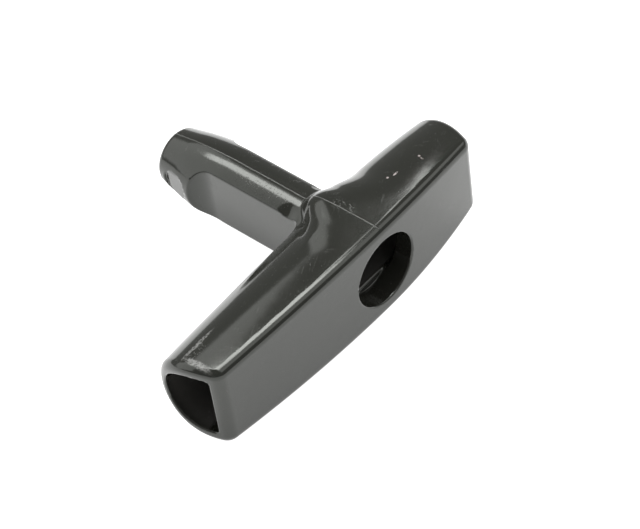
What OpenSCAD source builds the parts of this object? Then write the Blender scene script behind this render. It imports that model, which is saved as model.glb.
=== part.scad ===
// Starter handle: a hollow grip bar with a stem that carries the pull cord between two fingers.
// It is one moulding. The bar lies along X, the stem points along +Y and the palm face looks
// along -Y. The origin is where the axis of the stem meets the long axis of the bar.

/* [Grip bar] */
// Length of the long arm, from the stem's axis to the palm corner of its end
long_arm = 53.6; // [46:0.2:70]
// Length of the short arm, from the stem's axis to the palm corner of its end
short_arm = 36; // [30:0.2:50]
// Height of the bar at the stem
mid_height = 28; // [24.4:0.2:32]
// Height at the end of the long arm
long_end_height = 24.4; // [19:0.2:27]
// Height at the end of the short arm
short_end_height = 22.4; // [19:0.2:26]
// Depth of the bar at the stem, from the palm face to the back
mid_depth = 23.4; // [21:0.2:30]
// Depth of the bar at both ends
end_depth = 19.2; // [16:0.2:22]
// How far the palm face falls back from the stem to the ends
palm_bow = 2.7; // [0.5:0.1:5]
// Fullness of the rounded back: 2 is an ellipse, more is squarer
back_fullness = 2.2; // [2:0.1:3.2]
// Radius of the two long edges of the palm face
palm_edge_r = 1.8; // [1:0.1:3]
// How far each end bulges past its palm corner
end_crown = 2.7; // [0.2:0.1:3.2]
// Rounding of the rim round each open end
rim_r = 1.2; // [0.4:0.1:1.5]
// Thickness of the palm wall and the back wall at the open ends
wall = 2.9; // [1.8:0.1:3.2]
// Thickness of the upper and lower walls at the open ends
cheek_wall = 3.2; // [1.8:0.1:3.6]
// Thickness of the bar's back behind the knot, where the cord pulls
seat_wall = 5.8; // [4:0.2:7]

/* [Stem] */
// Diameter of the stem
stem_d = 20.2; // [18:0.2:24]
// Distance from the bar's axis to the tip
stem_reach = 55.2; // [48:0.2:70]
// Length of the tapered nose
nose_len = 13.8; // [11:0.2:16]
// Diameter of the nose where it meets the rounding of its tip
tip_d = 15; // [13:0.2:17]
// Rounding of the tip's edge
tip_r = 1.6; // [0.6:0.1:2.5]

/* [Side recesses] */
// Thickness of the web left between the two side recesses
web = 11.4; // [9.6:0.2:13]
// Radius of the ramp that runs each recess out into the nose
ramp_r = 6; // [4:0.2:8]
// Radius of the recess's corners beside the bar
recess_corner_r = 3; // [1.5:0.1:4]
// Radius of the round scoop that opens each recess's rim beside the bar
scoop_r = 4.5; // [3:0.1:5]
// Diameter of the round dimple on each side of the nose
dimple_d = 7.7; // [5:0.1:8]
// Depth of the dimple's floor below the side of the nose
dimple_depth = 0.75; // [0.4:0.05:1]

/* [Shoulder between stem and bar] */
// How far the shoulder spreads past the stem on each side
shoulder_spread = 6; // [2:0.2:7]
// How far the shoulder runs out along the stem, from the bar's back
shoulder_run = 1; // [0.4:0.2:4]

/* [Knot hole and cord bore] */
// Diameter of the round hole in the palm face that takes the knot
knot_d = 19.2; // [14:0.2:19.4]
// Diameter of the bore that the cord runs through
cord_d = 6; // [4:0.1:6.6]
// Width of the bevel where the cord leaves the tip
cord_bevel = 0.8; // [0.2:0.1:1.2]

/* [Hidden] */
$fn = 96;

// Steps of the skin: round the back, round a palm edge, along an arm and round a rim
back_steps = 28;
edge_steps = 4;
arm_steps = 7;
rim_steps = 3;

// Where the end's bulge is greatest, as a share of the depth from the palm face
crown_at = 0.61;

mid_palm = mid_depth / 2;
mid_back = mid_depth / 2;
end_palm = mid_palm - palm_bow;
end_back = end_depth - end_palm;
stem_r = stem_d / 2;
nose_start = stem_reach - nose_len;
nose_angle = atan2(stem_r - tip_d / 2, nose_len);
ramp_start = nose_start - 0.65 * ramp_r;
recess_start = mid_back - 3;
knot_seat = mid_back - seat_wall;
// The hollow narrows a little from its open ends to the stem, as its two cores must draw out
core_half = min(long_end_height, short_end_height) / 2 - cheek_wall - 0.3;
core_palm = end_palm - wall - 0.2;
past = 1;

function mix(a, b, t) = a + (b - a) * t;

// Bulge of an end at a place across the depth, 0 at the palm corner
function bulge(share) = end_crown * (1 - pow((share - crown_at) / crown_at, 2));

// Half outline power curve: the signed power of a sine or cosine
function curve(v, n) = sign(v) * pow(abs(v), 2 / n);

// Outline of the bar across its length, as [y, z]: flat palm face at -palm, rounded back at back
function outline(palm, back, half, edge, n) = concat(
    [for (i = [0 : edge_steps]) let (t = 180 - 90 * i / edge_steps)
        [edge - palm + edge * cos(t), half - edge + edge * sin(t)]],
    [for (i = [1 : back_steps - 1]) let (t = 90 - 180 * i / back_steps)
        [edge - palm + (palm + back - edge) * curve(cos(t), n), half * curve(sin(t), n)]],
    [for (i = [0 : edge_steps]) let (t = 270 - 90 * i / edge_steps)
        [edge - palm + edge * cos(t), edge - half + edge * sin(t)]]
);

// Places an outline at a share of an arm, from 0 at the stem to 1 at the end; side is -1 or 1.
// The depth from palm to back sets where each point lies in the bulge, extra moves the ring along.
function placed(side, share, points, palm, back, extra) =
    let (arm = side < 0 ? long_arm : short_arm)
    [for (p = points) [side * (share * (arm + bulge((p[0] + palm) / (palm + back))) + extra), p[0], p[1]]];

function end_half(side) = (side < 0 ? long_end_height : short_end_height) / 2;

// Ring of the outside, moved in by an inset
function skin_ring(side, share, inset = 0, extra = 0) =
    let (
        s = share * share,
        half = mix(mid_height / 2, end_half(side), s),
        palm = mix(mid_palm, end_palm, s),
        back = mix(mid_back, end_back, s),
        points = outline(palm - inset, back - inset, half - inset, palm_edge_r - 0.5 * inset, back_fullness)
    )
    placed(side, share, points, palm, back, extra);

// Ring of the hollow
function core_ring(side, share, extra = 0) =
    let (
        half = mix(core_half, end_half(side) - cheek_wall, share),
        palm = mix(core_palm, end_palm - wall, share),
        back = mix(knot_seat, end_back - wall, share)
    )
    placed(side, share, outline(palm, back, half, 1, back_fullness), end_palm, end_back, extra);

// Closed skin through a list of rings, all with the same number of points
module skin(rings) {
    n = len(rings[0]);
    last = len(rings) - 1;
    points = [for (r = rings, p = r) p];
    sides = [for (j = [0 : last - 1], i = [0 : n - 1], k = [0, 1])
        let (a = j * n + i, b = j * n + (i + 1) % n)
        k == 0 ? [a, b, b + n] : [a, b + n, a + n]];
    // The caps join each point to its mirror image above or below
    half = floor(n / 2) - 1;
    first_cap = [for (i = [0 : half - 1]) [i, n - 1 - i, n - 2 - i, i + 1]];
    last_cap = [for (i = [0 : half - 1]) [i, i + 1, n - 2 - i, n - 1 - i] + [1, 1, 1, 1] * last * n];
    tip_face = n % 2 == 1 ? [[half, half + 2, half + 1]] : [];
    far_face = n % 2 == 1 ? [[half, half + 1, half + 2] + [1, 1, 1] * last * n] : [];
    polyhedron(points = points, faces = concat(sides, first_cap, last_cap, tip_face, far_face));
}

// Rings of one arm, from the stem outwards, ending in the rounding of the rim
function arm_rings(side) = concat(
    [for (i = [1 : arm_steps]) skin_ring(side, i / arm_steps * (1 - 2 * rim_r / short_arm))],
    [for (i = [0 : rim_steps]) let (t = 90 * i / rim_steps)
        skin_ring(side, 1, rim_r * (1 - cos(t)), -rim_r * (1 - sin(t)))]
);

function reversed(list) = [for (i = [len(list) - 1 : -1 : 0]) list[i]];

// Outside of the grip bar
module bar_skin() {
    skin(concat(reversed(arm_rings(-1)), [skin_ring(1, 0)], arm_rings(1)));
}

// Hollow of the bar, open at both ends
module bar_hollow() {
    shares = [1 / 3, 2 / 3, 1];
    skin(concat(
        [core_ring(-1, 1, past)],
        [for (s = reversed(shares)) core_ring(-1, s)],
        [core_ring(1, 0)],
        [for (s = shares) core_ring(1, s)],
        [core_ring(1, 1, past)]
    ));
}

// Shoulder of the stem: rings across the stem's axis that spread and rise as they near the bar
module shoulder() {
    // Place along the axis, then how far each ring has spread and risen from the stem
    steps = [
        [-0.6 * mid_palm, 0, 0.8],
        [-0.3 * mid_palm, 0.6, 0.9],
        [0, 1, 0.92],
        [0.25 * mid_back, 0.95, 0.88],
        [mid_back - 6.6, 0.86, 0.82],
        [mid_back - 5.2, 0.7, 0.74],
        [mid_back - 4, 0.5, 0.63],
        [mid_back - 2.9, 0.27, 0.48],
        [mid_back - 1.9, 0.1, 0.28],
        [mid_back - 0.7, 0.03, 0.1],
        [mid_back + shoulder_run, -0.02, -0.02]
    ];
    full = 2.1;
    skin([for (k = steps)
        let (wide = stem_r + k[1] * shoulder_spread, high = mix(stem_r, mid_height / 2, k[2]))
        [for (i = [0 : 47]) let (t = 180 + 7.5 * i) [wide * curve(cos(t), full), k[0], high * curve(sin(t), full)]]]);
}

// Stem with its tapered nose, turned about the cord's axis
module stem_body() {
    flat_r = tip_d / 2 - tip_r;
    arc = [for (i = [0 : 6]) let (t = nose_angle + (90 - nose_angle) * i / 6)
        [flat_r + tip_r * cos(t), stem_reach - tip_r + tip_r * sin(t)]];
    rotate([-90, 0, 0])
        rotate_extrude()
            polygon(concat([[0, 0], [stem_r, 0], [stem_r, nose_start]], arc, [[0, stem_reach]]));
}

// Cutter of one side recess: a flat floor beside the web, run out by a ramp into the nose
module side_recess() {
    deep = stem_r + shoulder_spread + 3;
    high = mid_height / 2 - 0.8;
    c = recess_corner_r;
    ramp = [for (i = [0 : 8]) let (t = 80 * i / 8)
        [web / 2 + ramp_r * (1 - cos(t)), ramp_start + ramp_r * sin(t)]];
    corner = [for (i = [0 : 6]) let (t = 180 - 90 * i / 6)
        [recess_start + c + c * cos(t), high - c + c * sin(t)]];
    intersection() {
        translate([0, 0, -high - past])
            linear_extrude(2 * (high + past))
                polygon(concat([[deep, recess_start - past], [web / 2, recess_start - past]], ramp,
                    [[deep, ramp_start + ramp_r]]));
        rotate([90, 0, 90])
            linear_extrude(deep + past)
                polygon(concat(corner, [[stem_reach, high], [stem_reach, -high]],
                    [for (p = reversed(corner)) [p[0], -p[1]]]));
    }
}

// Round scoops that open the recess's upper and lower rim just clear of the bar
module rim_scoops() {
    for (side = [-1, 1])
        translate([stem_r - 2.2, recess_start + scoop_r - 0.3, side * (stem_r + 0.8)])
            sphere(r = scoop_r);
}

// Round dimple in the side of the nose, square to the taper
module dimple() {
    middle = nose_start + nose_len / 2;
    side_r = mix(stem_r, tip_d / 2, 0.5);
    translate([side_r, middle, 0])
        rotate([0, 0, nose_angle])
            rotate([0, 90, 0])
                translate([0, 0, -dimple_depth])
                    cylinder(d = dimple_d, h = 4);
}

// Draws its children on the right and mirrored on the left
module both_sides() {
    children();
    mirror([1, 0, 0]) children();
}

// Stem, shoulder and nose, with the recesses and dimples of both sides
module stem() {
    difference() {
        union() {
            shoulder();
            stem_body();
        }
        both_sides() {
            side_recess();
            rim_scoops();
            dimple();
        }
    }
}

// The whole moulding
module handle() {
    color([0.09, 0.095, 0.09])
        difference() {
            union() {
                bar_skin();
                stem();
            }
            bar_hollow();
            // Knot hole through the palm wall into the hollow
            rotate([90, 0, 0])
                translate([0, 0, core_palm - 0.5])
                    cylinder(d = knot_d, h = mid_palm - core_palm + 0.5 + past);
            // Cord bore from the seat of the knot to the tip, with its bevel
            rotate([-90, 0, 0]) cylinder(d = cord_d, h = stem_reach + past);
            translate([0, stem_reach - cord_bevel, 0])
                rotate([-90, 0, 0]) cylinder(d1 = cord_d, d2 = cord_d + 4 * cord_bevel, h = 2 * cord_bevel);
        }
}

handle();
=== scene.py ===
# %% [markdown]
# # A starter handle in polished black plastic
#
# The real handle is one injection moulding: a hollow grip bar for four fingers, and a stem that passes
# between the middle two and carries the pull cord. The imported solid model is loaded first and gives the
# frame that everything stands in. The moulding is then made again as one smooth skin with the small
# roundings that a polished mould leaves, and it takes the place of the plain solid.

# %% Load the frame
import math

import bpy
from mathutils import Matrix, Vector


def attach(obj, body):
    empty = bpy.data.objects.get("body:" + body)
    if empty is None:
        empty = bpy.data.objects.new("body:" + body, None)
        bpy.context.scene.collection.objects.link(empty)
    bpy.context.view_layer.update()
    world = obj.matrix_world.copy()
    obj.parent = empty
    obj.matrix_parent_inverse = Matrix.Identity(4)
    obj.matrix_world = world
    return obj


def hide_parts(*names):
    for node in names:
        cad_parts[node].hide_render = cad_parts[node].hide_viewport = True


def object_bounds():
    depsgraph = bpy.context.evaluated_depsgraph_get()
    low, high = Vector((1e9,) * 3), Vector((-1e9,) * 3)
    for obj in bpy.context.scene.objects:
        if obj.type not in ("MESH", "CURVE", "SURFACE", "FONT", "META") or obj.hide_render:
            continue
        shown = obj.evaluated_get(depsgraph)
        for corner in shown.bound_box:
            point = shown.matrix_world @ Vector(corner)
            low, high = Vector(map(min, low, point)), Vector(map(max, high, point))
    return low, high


MM_PER_M = 1000.0


def span_in_mm(low, high):
    return [round(MM_PER_M * (b - a), 1) for a, b in zip(low, high)]


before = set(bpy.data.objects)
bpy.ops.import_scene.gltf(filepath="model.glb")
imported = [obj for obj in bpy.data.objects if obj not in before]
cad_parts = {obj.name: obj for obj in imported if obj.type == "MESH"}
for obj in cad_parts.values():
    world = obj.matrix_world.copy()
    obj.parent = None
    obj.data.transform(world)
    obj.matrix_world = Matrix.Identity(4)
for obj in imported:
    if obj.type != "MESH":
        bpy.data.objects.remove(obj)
solid_low, solid_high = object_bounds()
print("solid model, mm:", span_in_mm(solid_low, solid_high))

# %% [markdown]
# ## Sums that build nodes
#
# Both the shape and the finish below are long sums. Drawn by hand, each would be hundreds of Math nodes,
# so one small class wraps an output socket and turns Python's own operators into those nodes. Numbers
# that don't touch a socket stay plain Python.

# %% A socket that can be reckoned with
class Wire:
    """An output socket of a node, which takes part in sums and so adds nodes to its tree."""

    def __init__(self, tree, socket):
        self.tree = tree
        self.socket = socket

    def node(self, kind, sockets, settings=None, out=0):
        """Any node: its settings first, then the value or wire of each socket."""
        made = self.tree.nodes.new(kind)
        for name, value in (settings or {}).items():
            setattr(made, name, value)
        for key, value in sockets.items():
            if isinstance(value, Wire):
                self.tree.links.new(value.socket, made.inputs[key])
            else:
                made.inputs[key].default_value = value
        return Wire(self.tree, made.outputs[out] if made.outputs else None)

    def math(self, operation, *values):
        places = {i: v for i, v in enumerate(values)}
        return self.node("ShaderNodeMath", places, {"operation": operation})

    def vector(self, operation, *values, out=0):
        places = {i: v for i, v in enumerate(values)}
        return self.node("ShaderNodeVectorMath", places, {"operation": operation}, out)

    def scaled(self, factor):
        return self.node("ShaderNodeVectorMath", {0: self, "Scale": factor}, {"operation": "SCALE"})

    def parts(self):
        apart = self.node("ShaderNodeSeparateXYZ", {0: self})
        return [Wire(self.tree, s) for s in apart.socket.node.outputs]

    def combined(self, x, y, z):
        return self.node("ShaderNodeCombineXYZ", {0: x, 1: y, 2: z})

    def above(self, mark):
        return self.math("GREATER_THAN", self, mark)

    def least(self, other):
        return self.math("MINIMUM", self, other)

    def most(self, other):
        return self.math("MAXIMUM", self, other)

    def root(self):
        return self.math("SQRT", self)

    def rounded(self):
        return self.math("ROUND", self)

    def __add__(self, other):
        return self.math("ADD", self, other)

    def __radd__(self, other):
        return self.math("ADD", other, self)

    def __sub__(self, other):
        return self.math("SUBTRACT", self, other)

    def __rsub__(self, other):
        return self.math("SUBTRACT", other, self)

    def __mul__(self, other):
        return self.math("MULTIPLY", self, other)

    def __rmul__(self, other):
        return self.math("MULTIPLY", other, self)

    def __truediv__(self, other):
        return self.math("DIVIDE", self, other)

    def __rtruediv__(self, other):
        return self.math("DIVIDE", other, self)

    def __pow__(self, other):
        return self.math("POWER", self, other)

    def __neg__(self):
        return self.math("MULTIPLY", self, -1.0)

    def __abs__(self):
        return self.math("ABSOLUTE", self)


# %% [markdown]
# ## The shape as distances
#
# A mould is cut by simple tools: a D-shaped bar, a turned stem, two flat-floored recesses, a few bores.
# Each is written as a distance: negative inside, positive outside, in millimetres. Joining two shapes
# takes the smaller distance and cutting takes the larger. Where two surfaces meet, a circle of a chosen
# radius is laid into the corner, so every edge of the moulding gets the rounding that it really has.

# %% Joining and cutting with a rounded corner
def joined(a, b, radius):
    u = (radius - a).most(0.0)
    v = (radius - b).most(0.0)
    return a.least(b).most(radius) - (u * u + v * v).root()


def common(a, b, radius):
    u = (a + radius).most(0.0)
    v = (b + radius).most(0.0)
    return a.most(b).least(-radius) + (u * u + v * v).root()


def cut(a, b, radius):
    return common(a, -b, radius)


def mixed(a, b, share):
    return a + (b - a) * share


NEARLY_NONE = 0.0001


def oval(u, v, half_u, half_v, fullness):
    """Distance to a squared-off oval, in its quarter above both axes; 2 gives an ellipse."""
    p = (u / half_u).most(NEARLY_NONE)
    q = (v / half_v).most(NEARLY_NONE)
    size = (p ** fullness + q ** fullness) ** (1.0 / fullness)
    slope_u = (p / size) ** (fullness - 1.0) / half_u
    slope_v = (q / size) ** (fullness - 1.0) / half_v
    return (size - 1.0) / (slope_u * slope_u + slope_v * slope_v).root()


# %% [markdown]
# ### Sizes
#
# The height and depth of the bar and the reach of the stem are read from the solid model, so that the
# skin fills the same space. The other sizes follow a picture of the real handle, at the scale of the hand
# that pulls it. They all become inputs of the node tree, where they can be tried out. The finer values,
# such as the roundings of rims, are named beside the shape that they belong to.

# %% The sizes of the moulding, in millimetres
SIZES = {
    "Long arm": 53.6,
    "Short arm": 36.0,
    "Mid half height": MM_PER_M * solid_high[2],
    "Long end half height": 12.2,
    "Short end half height": 11.2,
    "Mid half depth": -MM_PER_M * solid_low[1],
    "End depth": 19.2,
    "Palm bow": 2.7,
    "Palm edge": 2.2,
    "End crown": 2.7,
    "End rounding": 1.9,
    "Wall": 2.9,
    "Cheek wall": 3.2,
    "Core edge": 1.0,
    "Long side shoulder": 7.0,
    "Short side shoulder": 16.0,
    "Neck half width": 6.5,
    "Stem radius": 10.1,
    "Stem reach": MM_PER_M * solid_high[1],
    "Nose length": 13.8,
    "Tip radius": 7.2,
    "Tip rounding": 1.6,
    "Dimple radius": 3.85,
    "Dimple depth": 0.75,
    "Half web": 5.7,
    "Recess ramp": 6.0,
    "Long side scoop": 4.25,
    "Short side scoop": 3.6,
    "Knot radius": 9.6,
    "Knot seat": 5.9,
    "Cord radius": 3.0,
    "Mouth flare": 0.8,
}
whole_length = SIZES["Long arm"] + SIZES["Short arm"] + 2 * SIZES["End crown"]
print("the bar is", round(whole_length, 1), "mm long over its crowned ends")

# %% [markdown]
# ### The grip bar
#
# The bar is a barrel: its height and depth shrink with the square of the way along each arm. Across it
# lies a D: a flat palm face with rounded edges, and a squared-off oval for the fingers. Beside the stem
# the oval grows squarer, which makes the shoulder that the stem springs from. On the long arm the
# shoulder narrows as it climbs the stem, and on the short arm it stays wide. The bar's ends bulge a
# little and are open, so a second, smaller D is taken out of it from end to end.

# %% Where a point lies along the bar
CROWN_AT = 0.61
CROWN_LIMIT = 1.6
SHARE_LIMIT = 1.2


def arm_station(p, s):
    """Which arm a point is on, how far that arm reaches at its depth, and its share of that reach."""
    x, y, z = p.parts()
    is_short = x.above(0.0)
    arm = mixed(s["Long arm"], s["Short arm"], is_short)
    from_palm = (y + s["Mid half depth"] - s["Palm bow"]) / s["End depth"]
    off_crown = ((from_palm - CROWN_AT) / CROWN_AT).least(CROWN_LIMIT).most(-CROWN_LIMIT)
    reach = arm + s["End crown"] * (1.0 - off_crown * off_crown)
    return is_short, reach, (abs(x) / reach).least(SHARE_LIMIT)


# %% How square the bar's back is
BACK_FULLNESS = 2.2
SHOULDER_FULLNESS = 2.0
NECK_FULLNESS = 1.6
SHORT_ARM_FULLNESS = 0.5
SHORT_ARM_SLIMMING = 0.6
NARROWS_FROM = 1.0
NARROWING = 1.25


def back_fullness(p, s, is_short, squarer):
    x, y, z = p.parts()
    widest = s["Short side shoulder"]
    narrowing = (widest - (y - NARROWS_FROM) * NARROWING).least(widest).most(s["Long side shoulder"])
    shoulder = mixed(narrowing, widest, is_short)
    neck = s["Neck half width"]
    near_stem = 1.0 - (x * x / (shoulder * shoulder)).least(1.0)
    at_neck = 1.0 - (x * x / (neck * neck)).least(1.0)
    added = near_stem ** 3.0 * SHOULDER_FULLNESS + at_neck ** 3.0 * NECK_FULLNESS
    return added + squarer * SHORT_ARM_FULLNESS + BACK_FULLNESS


# %% Distance of the bar
# The crowned ends lean a little, so a distance along the bar is somewhat longer than the true one.
CROWN_SLOPE = 0.97


def grip_bar(p, s, station):
    x, y, z = p.parts()
    is_short, reach, share = station
    square = share * share
    mid = s["Mid half depth"]
    end_palm = mid - s["Palm bow"]
    end_half = mixed(s["Long end half height"], s["Short end half height"], is_short)
    squarer = is_short * share * (2.0 - share)
    palm = mixed(mid, end_palm, square)
    back = mixed(mid, s["End depth"] - end_palm, square) - squarer * square * SHORT_ARM_SLIMMING
    half = mixed(s["Mid half height"], end_half, square)

    edge = s["Palm edge"]
    fullness = back_fullness(p, s, is_short, squarer)
    fingers = oval(y + palm - edge, abs(z), palm + back - edge, half, fullness)
    section = common(fingers, -(y + palm), edge)
    end = (abs(x) - reach) * CROWN_SLOPE
    return common(section, end, s["End rounding"])


# %% Distance of the hollow
CORE_STEP = 0.3
CORE_BOW = 0.2


def grip_hollow(p, s, station):
    x, y, z = p.parts()
    is_short, _, share = station
    end_palm = s["Mid half depth"] - s["Palm bow"]
    end_back = s["End depth"] - end_palm
    end_half = mixed(s["Long end half height"], s["Short end half height"], is_short)
    cheek = s["Cheek wall"]
    half = mixed(s["Short end half height"] - cheek - CORE_STEP, end_half - cheek, share)
    palm = end_palm - s["Wall"] - CORE_BOW * (1.0 - share)
    back = mixed(s["Knot seat"], end_back - s["Wall"], share)
    edge = s["Core edge"]
    fingers = oval(y + palm - edge, abs(z), palm + back - edge, half, BACK_FULLNESS)
    return common(fingers, -(y + palm), edge)


# %% [markdown]
# ### The stem
#
# The stem is turned: a cylinder with a tapered nose and a round dimple on each side of it. A recess on
# each side leaves a web between them, runs out in a ramp at the nose and ends in the shoulder, where a
# ball-shaped scoop opens its rim. The sides mirror each other, so a point is folded onto one side and
# each shape is written once.

# %% Distance of the stem with its dimples
STEM_START = -4.0
START_ROUNDING = 0.2
NOSE_ROUNDING = 1.5
DIMPLE_TURN = math.radians(10.7)
DIMPLE_CORNER = 0.3
DIMPLE_RIM = 0.25


def dimple(p, s):
    """A short bore, square to the taper, halfway along the nose."""
    x, y, z = p.parts()
    along = y - s["Stem reach"] + 0.5 * s["Nose length"]
    outwards = abs(x) - 0.5 * (s["Stem radius"] + s["Tip radius"])
    level = outwards * math.cos(DIMPLE_TURN) + along * math.sin(DIMPLE_TURN)
    slide = along * math.cos(DIMPLE_TURN) - outwards * math.sin(DIMPLE_TURN)
    rim = (slide * slide + z * z).root() - s["Dimple radius"]
    return common(rim, -(level + s["Dimple depth"]), DIMPLE_CORNER)


def stem(p, s):
    x, y, z = p.parts()
    out = (x * x + z * z).root()
    radius = s["Stem radius"]
    nose_start = s["Stem reach"] - s["Nose length"]
    taper = (radius - s["Tip radius"]) / s["Nose length"]
    nose = (out - radius + (y - nose_start) * taper) / (taper * taper + 1.0).root()
    body = common(out - radius, nose, NOSE_ROUNDING)
    body = common(body, y - s["Stem reach"], s["Tip rounding"])
    body = common(body, STEM_START - y, START_ROUNDING)
    return cut(body, dimple(p, s), DIMPLE_RIM)


# %% Distance of the side recesses
RAMP_INTO_NOSE = 0.65
RECESS_INTO_BAR = 1.9
RECESS_CORNER = 1.1
STRAIGHT_TO = 7.0
CURVED_FOR = 3.3
CURVE = 0.25


def side_recess(p, s):
    """Everything beyond a flat floor, between the ramp at the nose and the curved end at the bar."""
    x, y, z = p.parts()
    x = abs(x)
    ramp = s["Recess ramp"]
    ramp_from = s["Stem reach"] - s["Nose length"] - RAMP_INTO_NOSE * ramp
    a = (s["Half web"] + ramp - x).most(0.0)
    b = (y - ramp_from).most(0.0)
    floor = (a * a + b * b).root() - ramp
    curved = (x - STRAIGHT_TO).most(0.0).least(CURVED_FOR)
    end = s["Mid half depth"] - RECESS_INTO_BAR + curved * curved * CURVE - y
    return common(floor, end, RECESS_CORNER)


# %% Distance of the scoops beside the bar
INSIDE_STEM = 3.1
BEHIND_BAR = 1.4
ABOVE_STEM = 1.7


def scoop(p, s):
    x, y, z = p.parts()
    radius = s["Stem radius"]
    centre = x.combined(radius - INSIDE_STEM, s["Mid half depth"] + BEHIND_BAR, radius + ABOVE_STEM)
    folded = x.combined(abs(x), y, abs(z))
    ball = mixed(s["Long side scoop"], s["Short side scoop"], x.above(0.0))
    return p.vector("DISTANCE", folded, centre, out="Value") - ball


# %% [markdown]
# ### The way of the cord
#
# The knot goes in through a round hole in the palm face and seats against the thick back of the hollow.
# From there a bore takes the cord through the stem to its mouth in the tip, which flares so that the cord
# isn't cut. These cavities are joined first and then cut out of the whole in one go.

# %% Distance of the cavities
KNOT_HOLE_END = -5.4
KNOT_HOLE_CORNER = 0.3
INTO_HOLLOW = 0.8
BORE_START = 5.0
BORE_MEETS_HOLLOW = 0.4
FLARE_WIDTH = 1.6
FLARE_CORNER = 0.2


def cavities(p, s, hollow):
    x, y, z = p.parts()
    out = (x * x + z * z).root()
    off_bore = out - s["Cord radius"]
    knot_hole = common(out - s["Knot radius"], y - KNOT_HOLE_END, KNOT_HOLE_CORNER)
    bore = off_bore.most(BORE_START - y)
    flare = (off_bore - y + s["Stem reach"] - s["Mouth flare"]) * math.sqrt(0.5)
    bore = joined(bore, flare.most(off_bore - FLARE_WIDTH), FLARE_CORNER)
    return joined(joined(hollow, knot_hole, INTO_HOLLOW), bore, BORE_MEETS_HOLLOW)


# %% Distance of the whole moulding
ROOT_ROUNDING = 0.9
RECESS_RIM = 0.35
SCOOP_RIM = 0.45
HOLE_RIM = 0.5


def moulding(p, s):
    station = arm_station(p, s)
    whole = joined(grip_bar(p, s, station), stem(p, s), ROOT_ROUNDING)
    whole = cut(whole, side_recess(p, s), RECESS_RIM)
    whole = cut(whole, scoop(p, s), SCOOP_RIM)
    return cut(whole, cavities(p, s, grip_hollow(p, s, station)), HOLE_RIM)


# %% [markdown]
# ## From distances to a skin
#
# Geometry Nodes does the rest. The distances are grouped once, so that they can be read at any point.
# A Volume Cube reads them on a fine grid and Volume to Mesh lays a skin through zero. The skin is then
# drawn onto the exact surface along the slope of the distance, which takes the grid's ripple away, and
# that slope is also kept as the direction that each point faces.

# %% The distance group
def size_inputs(tree):
    for name, value in SIZES.items():
        socket = tree.interface.new_socket(name, in_out="INPUT", socket_type="NodeSocketFloat")
        socket.default_value = value


distances = bpy.data.node_groups.new("Handle distances", "GeometryNodeTree")
distances.interface.new_socket("Point", in_out="INPUT", socket_type="NodeSocketVector")
size_inputs(distances)
distances.interface.new_socket("Distance", in_out="OUTPUT", socket_type="NodeSocketFloat")
given = distances.nodes.new("NodeGroupInput")
point = Wire(distances, given.outputs["Point"])
total = moulding(point, {name: Wire(distances, given.outputs[name]) for name in SIZES})
result = distances.nodes.new("NodeGroupOutput")
distances.links.new(total.socket, result.inputs["Distance"])
print("nodes in the distance group:", len(distances.nodes))

# %% Inputs of the moulding tree
# About the finest grid, in millimetres, that keeps the skin under 200,000 triangles.
GRID = 0.46
tree = bpy.data.node_groups.new("Handle moulding", "GeometryNodeTree")
tree.interface.new_socket("Geometry", in_out="INPUT", socket_type="NodeSocketGeometry")
size_inputs(tree)
tree.interface.new_socket("Grid", in_out="INPUT", socket_type="NodeSocketFloat").default_value = GRID
tree.interface.new_socket("Finish", in_out="INPUT", socket_type="NodeSocketMaterial")
tree.interface.new_socket("Geometry", in_out="OUTPUT", socket_type="NodeSocketGeometry")
given = tree.nodes.new("NodeGroupInput")
chosen_finish = Wire(tree, given.outputs["Finish"])
grid = Wire(tree, given.outputs["Grid"])
sizes = {name: Wire(tree, given.outputs[name]) for name in SIZES}
print("inputs of the moulding tree:", len(given.outputs) - 1)

# %% The distance at each point, and its slope from readings on both sides of it
NEARBY = 0.04
LEAST_STEEPNESS = 0.05


def distance_at(place):
    return place.node("GeometryNodeGroup", {"Point": place, **sizes}, {"node_tree": distances})


where = grid.node("GeometryNodeInputPosition", {}).scaled(MM_PER_M)
here = distance_at(where)
slopes = []
for axis in range(3):
    shift = [NEARBY if i == axis else 0.0 for i in range(3)]
    ahead = distance_at(where.vector("ADD", where, shift))
    behind = distance_at(where.vector("SUBTRACT", where, shift))
    slopes.append((ahead - behind) / (2 * NEARBY))
slope = grid.combined(*slopes)
steepness = slope.vector("DOT_PRODUCT", slope, slope, out="Value").most(LEAST_STEEPNESS)

# %% The skin, laid through zero and drawn onto the exact surface
GRID_LOW = [-58.0, -13.0, -15.5]
GRID_HIGH = [40.0, 56.5, 15.5]
# Only the distances close to the skin matter, so they all stop at this one.
DEEPEST = 1.5
PULLS = 3
counts = [((b - a) / grid).rounded() for a, b in zip(GRID_LOW, GRID_HIGH)]
cube = {
    "Density": (-here).least(DEEPEST).most(-DEEPEST),
    "Background": -DEEPEST,
    "Min": [v / MM_PER_M for v in GRID_LOW],
    "Max": [v / MM_PER_M for v in GRID_HIGH],
    "Resolution X": counts[0],
    "Resolution Y": counts[1],
    "Resolution Z": counts[2],
}
volume = grid.node("GeometryNodeVolumeCube", cube)
skin = grid.node("GeometryNodeVolumeToMesh", {"Volume": volume, "Threshold": 0.0, "Adaptivity": 0.0})
for _ in range(PULLS):
    offset = slope.scaled(here / steepness * (-1.0 / MM_PER_M))
    skin = grid.node("GeometryNodeSetPosition", {"Geometry": skin, "Offset": offset})

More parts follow.
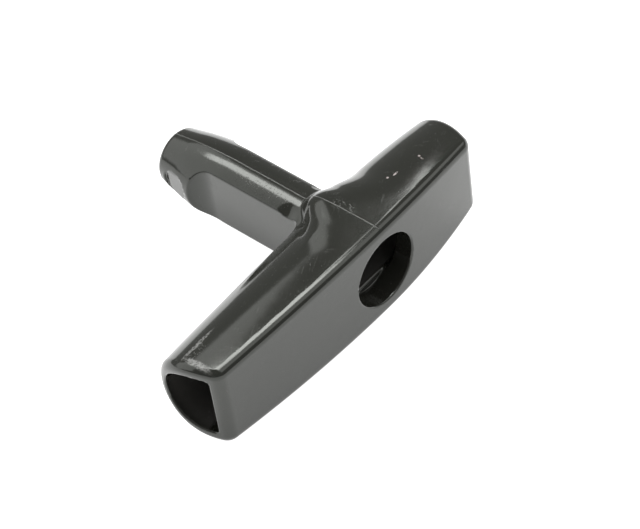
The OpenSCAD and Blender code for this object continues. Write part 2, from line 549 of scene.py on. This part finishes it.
# %% What each point faces, and the end of the tree
skin = grid.node(
    "GeometryNodeStoreNamedAttribute",
    {"Geometry": skin, "Name": "facing", "Value": slope.vector("NORMALIZE", slope)},
    {"data_type": "FLOAT_VECTOR", "domain": "POINT"},
)
skin = grid.node("GeometryNodeSetShadeSmooth", {"Geometry": skin})
skin = grid.node("GeometryNodeRealizeInstances", {"Geometry": skin})
skin = grid.node("GeometryNodeSetMaterial", {"Geometry": skin, "Material": chosen_finish})
result = tree.nodes.new("NodeGroupOutput")
tree.links.new(skin.socket, result.inputs["Geometry"])
print("nodes in the moulding tree:", len(tree.nodes))

# %% [markdown]
# ## The finish
#
# Polished black plastic, dark and a little greenish. Everything on it is worked out from the place on the
# moulding, in millimetres:
#
# - a thin raised line where the halves of the mould met, along the stem and over the bar, painted lighter
#   as a painted highlight
# - the faint unevenness of a moulded skin, which makes the reflections waver
# - hairline scratches, short and almost straight, in two directions
# - a pale rim and a pale line on the long end: painted highlights of the lamps on its rounding, over some
#   rubbing
# - scuffs that dull the long end, the middle of the bar and the top of the stem
# - a few pale nicks on the short arm, where something hard has chipped the skin
# - an inside painted a shade lighter, as painted light that stands in for the light reaching into the
#   hollow

# %% Helpers for marks on the plastic
plastic = bpy.data.materials.new("polished_black_plastic")
plastic.use_nodes = True
plastic.node_tree.nodes.clear()
finish = Wire(plastic.node_tree, None)
spot = finish.node("ShaderNodeTexCoord", {}, out="Object").scaled(MM_PER_M)
x, y, z = spot.parts()


def soft_step(value, low, high):
    """0 below the low mark, 1 above the high one, and a soft step between."""
    places = {"Value": value, "From Min": low, "From Max": high, "To Min": 0.0, "To Max": 1.0}
    return finish.node("ShaderNodeMapRange", places, {"interpolation_type": "SMOOTHSTEP"})


def noise(place, scale, detail=2.0, roughness=0.5):
    places = {"Vector": place, "Scale": scale, "Detail": detail, "Roughness": roughness}
    return finish.node("ShaderNodeTexNoise", places)


def near_spot(centre, half_sizes):
    """1 at a chosen place and 0 outside an oval of the given half sizes round it."""
    apart = spot.vector("SUBTRACT", spot, centre)
    apart = apart.vector("DIVIDE", apart, half_sizes)
    return 1.0 - soft_step(apart.vector("LENGTH", apart, out="Value"), 0.5, 1.0)


def strongest(masks):
    total = masks[0]
    for mask in masks[1:]:
        total = total.most(mask)
    return total


# %% Hairline scratches
def hairlines(turn, seed):
    """The ridge lines of a noise that is drawn out about twenty times along one direction."""
    along = x * math.cos(turn) + y * math.sin(turn)
    across = y * math.cos(turn) - x * math.sin(turn)
    drawn = x.combined(along * 0.05 + seed, across * 1.1, z * 0.9)
    ridge = 1.0 - soft_step(abs(noise(drawn, 1.0, 1.0) - 0.5), 0.0, 0.006)
    patches = x.combined(along * 0.25, across * 0.4 + seed, z * 0.4)
    sparse = soft_step(noise(patches, 1.0), 0.60, 0.66)
    return ridge * sparse


scratches = hairlines(0.45, 3.0).most(hairlines(-0.9, 11.0))
print("nodes for the scratches:", len(plastic.node_tree.nodes))

# %% The line where the halves of the mould met, with its painted highlight
off_seam = abs(x + (noise(spot, 0.35) - 0.5) * 0.25)
on_stem = soft_step(y, 10.0, 11.0) * soft_step(abs(z), 4.0, 5.0)
on_bar = soft_step(y, -11.2, -10.6) * soft_step(abs(z), 10.4, 11.0)
seam_and_painted_highlight = (1.0 - soft_step(off_seam, 0.04, 0.20)) * on_stem.most(on_bar)
# The seam's lighter colour is a painted highlight; its bump and roughness are the raised line itself.

# %% Scuffs, and painted highlights on the long end
grain = noise(spot, 1.9, 4.0, 0.65)
long_end = near_spot((-50.5, 0.4, 11.4), (4.0, 2.4, 1.6)) * soft_step(grain, 0.50, 0.64)
stem_top = near_spot((-3.5, 22.0, 9.5), (3.0, 12.0, 3.0)) * soft_step(grain, 0.55, 0.68)
middle = near_spot((0.8, 0.5, 14.0), (2.6, 4.5, 2.0)) * soft_step(grain, 0.52, 0.66)
scuffs = strongest([long_end, stem_top, middle])
# The pale rim and line on the long end are painted highlights where the lamps shine on its rounding,
# broken up by the grain like rubbing.
end_rim_painted_highlight = near_spot((-53.6, -2.4, 11.7), (1.3, 5.6, 1.8)) * soft_step(grain, 0.25, 0.60)
end_line_painted_highlight = near_spot((-49.0, 1.9, 11.1), (7.5, 0.8, 1.5)) * soft_step(grain, 0.30, 0.60)
rubs_and_painted_highlights = end_rim_painted_highlight.most(end_line_painted_highlight * 0.9)

# %% Nicks and specks
# Where each nick is, its half sizes and how pale it is.
NICKS = [
    ((16.1, -2.5, 13.2), (1.00, 0.32, 1.2), 1.0),
    ((14.0, -1.8, 13.1), (0.40, 0.45, 1.2), 0.8),
    ((24.1, -3.1, 12.8), (0.40, 0.45, 1.2), 0.6),
    ((23.8, -4.2, 12.9), (0.35, 0.70, 1.2), 0.4),
]
ragged = soft_step(noise(spot, 2.3), 0.30, 0.50)
nicks = strongest([near_spot(centre, halves) * pale for centre, halves, pale in NICKS]) * ragged
specks = soft_step(noise(spot, 2.6, 0.0), 0.83, 0.86)
print("nodes with all the marks:", len(plastic.node_tree.nodes))

# %% The inside, painted a shade lighter as painted light
HOLLOW_MIDDLE = 0.5
HOLLOW_HALF_DEPTH = 7.6
HOLLOW_HALF_HEIGHT = 10.3
PAST_BOTH_ENDS = 60.0
KNOT_HOLE_SHARE = 0.2
over_depth = abs(y - HOLLOW_MIDDLE) / HOLLOW_HALF_DEPTH
over_height = abs(z) / HOLLOW_HALF_HEIGHT
in_section = (over_depth ** 3.0 + over_height ** 3.0) ** (1.0 / 3.0)
in_hollow = 1.0 - soft_step(in_section.most(abs(x) / PAST_BOTH_ENDS), 0.88, 0.95)
in_knot_hole = (1.0 - soft_step((x * x + z * z).root(), 9.5, 9.9)) * (1.0 - soft_step(y, 7.5, 8.5))
painted_light_inside = in_hollow.most(in_knot_hole * KNOT_HOLE_SHARE)
print("nodes with the inside:", len(plastic.node_tree.nodes))

# %% Colour of the plastic
CLEAN = (0.0103, 0.0108, 0.0078, 1.0)
INSIDE_PAINTED_LIGHTER = (0.0500, 0.0480, 0.0450, 1.0)
PALE_WEAR_AND_HIGHLIGHT = (0.30, 0.30, 0.29, 1.0)
CHIPPED = (0.36, 0.31, 0.30, 1.0)


def blended(share, first, second):
    """One colour turning into another; a Mix node keeps them as sockets 6 and 7."""
    places = {0: share, 6: first, 7: second}
    return finish.node("ShaderNodeMix", places, {"data_type": "RGBA"}, out=2)


# Scuffs, scratches and specks are wear; the pale seam and long end in this mix are painted highlights.
wear_and_painted_highlights = strongest([scuffs * 0.35, scratches * 0.35, seam_and_painted_highlight * 0.35, specks * 0.4, rubs_and_painted_highlights * 0.8])
# The hollow and the knot hole get a lighter colour: painted light, not a colour of the plastic.
colour = blended(painted_light_inside, CLEAN, INSIDE_PAINTED_LIGHTER)
colour = blended(wear_and_painted_highlights * wear_and_painted_highlights, colour, PALE_WEAR_AND_HIGHLIGHT)
colour = blended(nicks, colour, CHIPPED)

# %% Gloss and relief of the plastic
gloss = 0.10 + noise(spot, 0.12) * 0.05 + (grain - 0.5) * 0.05
gloss = gloss + scuffs * 0.22 + rubs_and_painted_highlights * 0.25 + seam_and_painted_highlight * 0.20 + nicks * 0.40 + scratches * 0.12
waver = (noise(spot, 0.22, 1.0) - 0.5) * 0.020 + (grain - 0.5) * 0.0035
relief = waver + seam_and_painted_highlight * 0.035 - scratches * 0.006 - nicks * 0.05 + scuffs * (grain - 0.5) * 0.03
bump = finish.node("ShaderNodeBump", {"Strength": 1.0, "Distance": 1.0 / MM_PER_M, "Height": relief})
surface = {
    "Base Color": colour,
    "Roughness": gloss,
    "Normal": bump,
    "IOR": 1.5,
    "Specular Tint": (0.97, 1.0, 0.95, 1.0),
}
shader = finish.node("ShaderNodeBsdfPrincipled", surface)
finish.node("ShaderNodeOutputMaterial", {"Surface": shader})
print("nodes in the plastic:", len(plastic.node_tree.nodes))

# %% [markdown]
# ## The finished piece
#
# A mesh with nothing in it carries the tree as a modifier, and its evaluated result becomes a plain mesh.
# The export can't keep a live tree, so the maker is thrown away. The stored facing directions then become
# the mesh's own normals: reflections on polished plastic show every faceted normal, and these have none.

# %% Make the moulding
blank = bpy.data.meshes.new("handle_blank")
maker = bpy.data.objects.new("handle_maker", blank)
bpy.context.scene.collection.objects.link(maker)
modifier = maker.modifiers.new("moulding", "NODES")
modifier.node_group = tree
for item in tree.interface.items_tree:
    if item.item_type == "SOCKET" and item.in_out == "INPUT" and item.name == "Finish":
        modifier[item.identifier] = plastic
ready = maker.evaluated_get(bpy.context.evaluated_depsgraph_get())
skin_mesh = bpy.data.meshes.new_from_object(ready)
skin_mesh.name = "handle_moulding"
bpy.data.objects.remove(maker)
moulded = bpy.data.objects.new("handle_moulding", skin_mesh)
bpy.context.scene.collection.objects.link(moulded)
print("moulding:", len(skin_mesh.vertices), "points,", len(skin_mesh.polygons), "faces")

# %% Face each point the way the exact surface faces
normals = [0.0] * (3 * len(skin_mesh.vertices))
skin_mesh.attributes["facing"].data.foreach_get("vector", normals)
skin_mesh.normals_split_custom_set_from_vertices([normals[i : i + 3] for i in range(0, len(normals), 3)])
skin_mesh.attributes.remove(skin_mesh.attributes["facing"])
print("normals of its own:", skin_mesh.has_custom_normals)

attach(moulded, "root")
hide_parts("handle")

# %% [markdown]
# ## Floor and light
#
# A polished black thing has almost no colour of its own: what the eye reads as its shape is the room
# that it mirrors. So the room is laid out as a product studio would be. One soft lamp over the stem and
# one over the grip draw the bright lines along them, a narrow strip does it for the short arm, and two
# broad dim ones behind and in front give the long arm's top and the palm's edges their grey. The room
# itself is dim, so that the upper faces stay dark. The white floor lights the sides from below. It is
# seen through from underneath, so that the handle can be looked at from there too.

# %% White floor
FLOOR_REACH = 4.0
FLOOR_GAP = 0.0001
under = solid_low[2] - FLOOR_GAP
corners = [(a * FLOOR_REACH, b * FLOOR_REACH, under) for a, b in ((-1, -1), (1, -1), (1, 1), (-1, 1))]
floor_mesh = bpy.data.meshes.new("floor")
floor_mesh.from_pydata(corners, [], [(0, 1, 2, 3)])
floor = bpy.data.objects.new("floor", floor_mesh)
bpy.context.scene.collection.objects.link(floor)
print("the floor lies", round(-MM_PER_M * under, 1), "mm below the bar's axis")

# %% White paper for the floor
PAPER_COLOUR = (0.8, 0.8, 0.8, 1.0)
PAPER_GLOW = 0.95
paper = bpy.data.materials.new("white_paper")
paper.use_nodes = True
paper.node_tree.nodes.clear()
sheet = Wire(paper.node_tree, None)
seen = sheet.node("ShaderNodeLightPath", {}, out="Is Camera Ray")
mirrored = sheet.node("ShaderNodeLightPath", {}, out="Is Glossy Ray")
through = sheet.node("ShaderNodeLightPath", {}, out="Is Transmission Ray")
strength = (seen + mirrored + through).least(1.0) * PAPER_GLOW
lit = sheet.node("ShaderNodeBsdfDiffuse", {"Color": PAPER_COLOUR})
glow = sheet.node("ShaderNodeEmission", {"Color": (1.0, 1.0, 1.0, 1.0), "Strength": strength})
from_above = sheet.node("ShaderNodeAddShader", {0: lit, 1: glow})
clear = sheet.node("ShaderNodeBsdfTransparent", {})
from_below = sheet.node("ShaderNodeNewGeometry", {}, out="Backfacing")
both = sheet.node("ShaderNodeMixShader", {0: from_below, 1: from_above, 2: clear})
sheet.node("ShaderNodeOutputMaterial", {"Surface": both})
floor_mesh.materials.append(paper)
print("nodes in the paper:", len(paper.node_tree.nodes))

# %% How a soft lamp is made
def soft_lamp(name, place, target, width, height, radiance, turn=0.0):
    """A plain rectangular soft lamp that looks at a point, with the brightness of its face given."""
    data = bpy.data.lights.new(name, "AREA")
    data.shape = "RECTANGLE"
    data.size, data.size_y = width, height
    data.energy = radiance * math.pi * width * height
    lamp = bpy.data.objects.new(name, data)
    bpy.context.scene.collection.objects.link(lamp)
    away = (Vector(place) - Vector(target)).normalized()
    across = Vector((0, 1, 0)).cross(away).normalized()
    facing = Matrix((across, away.cross(across), away)).transposed().to_4x4()
    turned = facing @ Matrix.Rotation(turn, 4, "Z")
    turned.translation = Vector(place)
    lamp.matrix_world = turned
    print(name, "has a face of", width, "by", height, "m")


# %% Lamps
LAMP_HEIGHT = 1.0
STRIP_TURN = math.radians(26.6)


def lamp_overhead(name, x, y, width, height, radiance, turn=0.0):
    """A soft lamp that looks straight down."""
    soft_lamp(name, (x, y, LAMP_HEIGHT), (x, y, 0.0), width, height, radiance, turn)


lamp_overhead("lamp_over_stem", 0.17, 0.76, 0.30, 0.48, 8.0)
lamp_overhead("lamp_over_grip", 0.33, 0.16, 0.26, 0.68, 11.5)
lamp_overhead("lamp_strip", 0.73, 0.57, 0.62, 0.08, 9.0, STRIP_TURN)
lamp_overhead("lamp_before", 0.90, -0.72, 1.70, 1.00, 1.6)
soft_lamp("lamp_behind", (-0.44, 1.13, 0.88), (0.0, 0.0, 0.0), 2.55, 1.0, 1.6)

# %% The dim room
ROOM = 0.45
world = bpy.data.worlds.new("studio")
bpy.context.scene.world = world
world.use_nodes = True
background = world.node_tree.nodes["Background"]
background.inputs["Color"].default_value = (1, 1, 1, 1)
background.inputs["Strength"].default_value = ROOM
bpy.context.scene.view_settings.view_transform = "Standard"
print("the room shines at", ROOM)

# %% [markdown]
# ## Camera
#
# The handle is seen from above, over the open end of its long arm, with a long lens and a slight roll.
# The camera's three directions are worked out from its angles and make up the turn of its matrix.

# %% The camera's directions
AZIMUTH = math.radians(-42.999)
ELEVATION = math.radians(47.580)
ROLL = math.radians(-8.882)
flat = math.cos(ELEVATION)
back = Vector((math.sin(AZIMUTH) * flat, -math.cos(AZIMUTH) * flat, math.sin(ELEVATION)))
level = (-back).cross(Vector((0, 0, 1))).normalized()
upright = level.cross(-back)
right = math.cos(ROLL) * level + math.sin(ROLL) * upright
up = math.cos(ROLL) * upright - math.sin(ROLL) * level
print("the camera looks along", [round(v, 3) for v in -back])

# %% Camera
STANDS_AT = Vector((-0.29364, -0.30438, 0.45896))
LENS = 149.64
SENSOR_WIDTH = 36.0
NEAREST = 0.05
FARTHEST = 20.0
camera_data = bpy.data.cameras.new("camera")
camera_data.sensor_width = SENSOR_WIDTH
camera_data.lens = LENS
camera_data.clip_start = NEAREST
camera_data.clip_end = FARTHEST
camera = bpy.data.objects.new("camera", camera_data)
bpy.context.scene.collection.objects.link(camera)
placed = Matrix((right, up, back)).transposed().to_4x4()
placed.translation = STANDS_AT
camera.matrix_world = placed
bpy.context.scene.camera = camera
print("the camera stands", round(STANDS_AT.length, 3), "m from where stem and bar cross")
